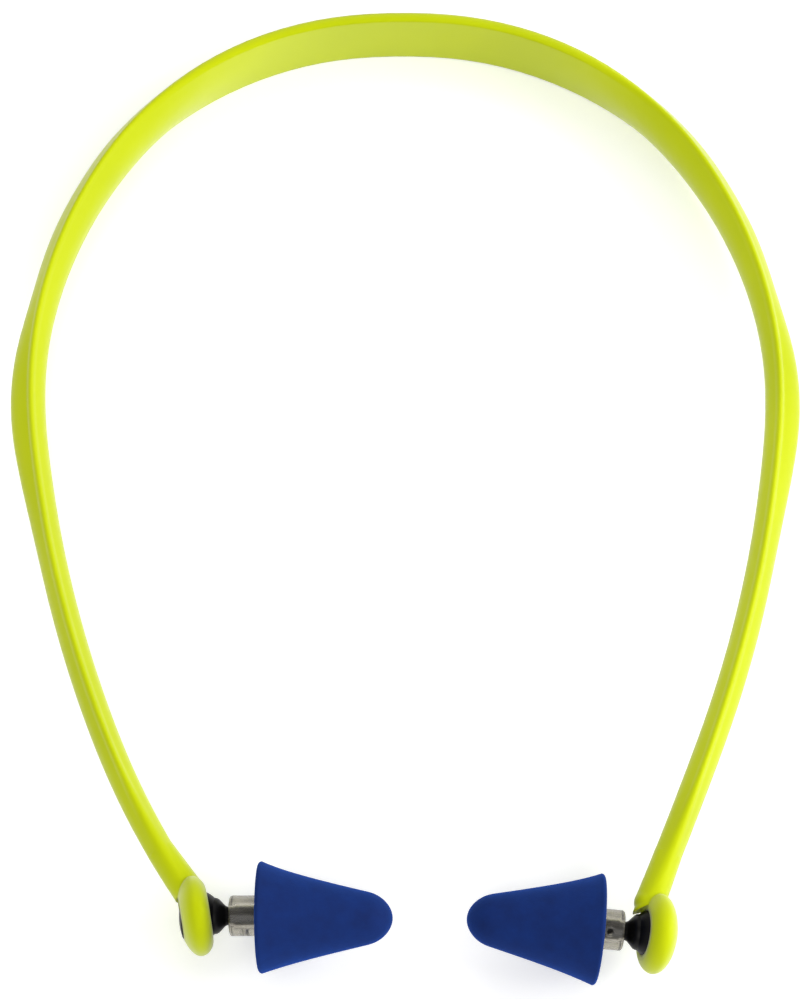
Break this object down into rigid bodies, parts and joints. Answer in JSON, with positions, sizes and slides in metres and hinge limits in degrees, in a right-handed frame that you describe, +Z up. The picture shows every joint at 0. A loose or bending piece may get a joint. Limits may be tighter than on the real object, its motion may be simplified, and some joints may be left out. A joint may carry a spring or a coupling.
{
  "type": "banded ear plugs",
  "caption": "Foam ear plug pods on swivelling stems at the ends of a springy neck band, which press the pods into the ears.",
  "frame": {"origin": "on the table, under the middle of the whole set's box", "axes": "+Z up from the table, +Y towards the crown of the band, pods facing each other along X at the -Y end"},
  "size_m": [0.1222, 0.1607, 0.0167],
  "materials": {
    "band_plastic": "smooth satin lime green polypropylene",
    "stem_rubber": "satin black moulded rubber",
    "sleeve_plastic": "slightly milky clear plastic",
    "pod_foam": "matt blue moulded foam with a fine skin"
  },
  "bodies": {
    "band": {"band": "band_plastic"},
    "left_swivel": {"left_stem": "stem_rubber"},
    "left_tip": {"left_sleeve": "sleeve_plastic", "left_pod": "pod_foam"},
    "right_swivel": {"right_stem": "stem_rubber"},
    "right_tip": {"right_sleeve": "sleeve_plastic", "right_pod": "pod_foam"}
  },
  "joints": [
    {"name": "left_eye_swivel", "type": "hinge", "parent": "band", "child": "left_swivel", "pos_m": [-0.03139, -0.0699, 0.00805], "axis": [0, 0.0166, 0.9999], "range_deg": [-0.3, 21.7]},
    {"name": "left_tip_spin", "type": "hinge", "parent": "left_swivel", "child": "left_tip", "pos_m": [-0.02241, -0.07008, 0.00862], "axis": [0.9978, -0.0199, 0.0631], "continuous": true},
    {"name": "right_eye_swivel", "type": "hinge", "parent": "band", "child": "right_swivel", "pos_m": [0.03535, -0.07306, 0.00788], "axis": [0, 0.0166, 0.9999], "range_deg": [-6.5, 9.5]},
    {"name": "right_tip_spin", "type": "hinge", "parent": "right_swivel", "child": "right_tip", "pos_m": [0.0264, -0.07227, 0.00843], "axis": [-0.9942, 0.0882, 0.0611], "continuous": true}
  ]
}
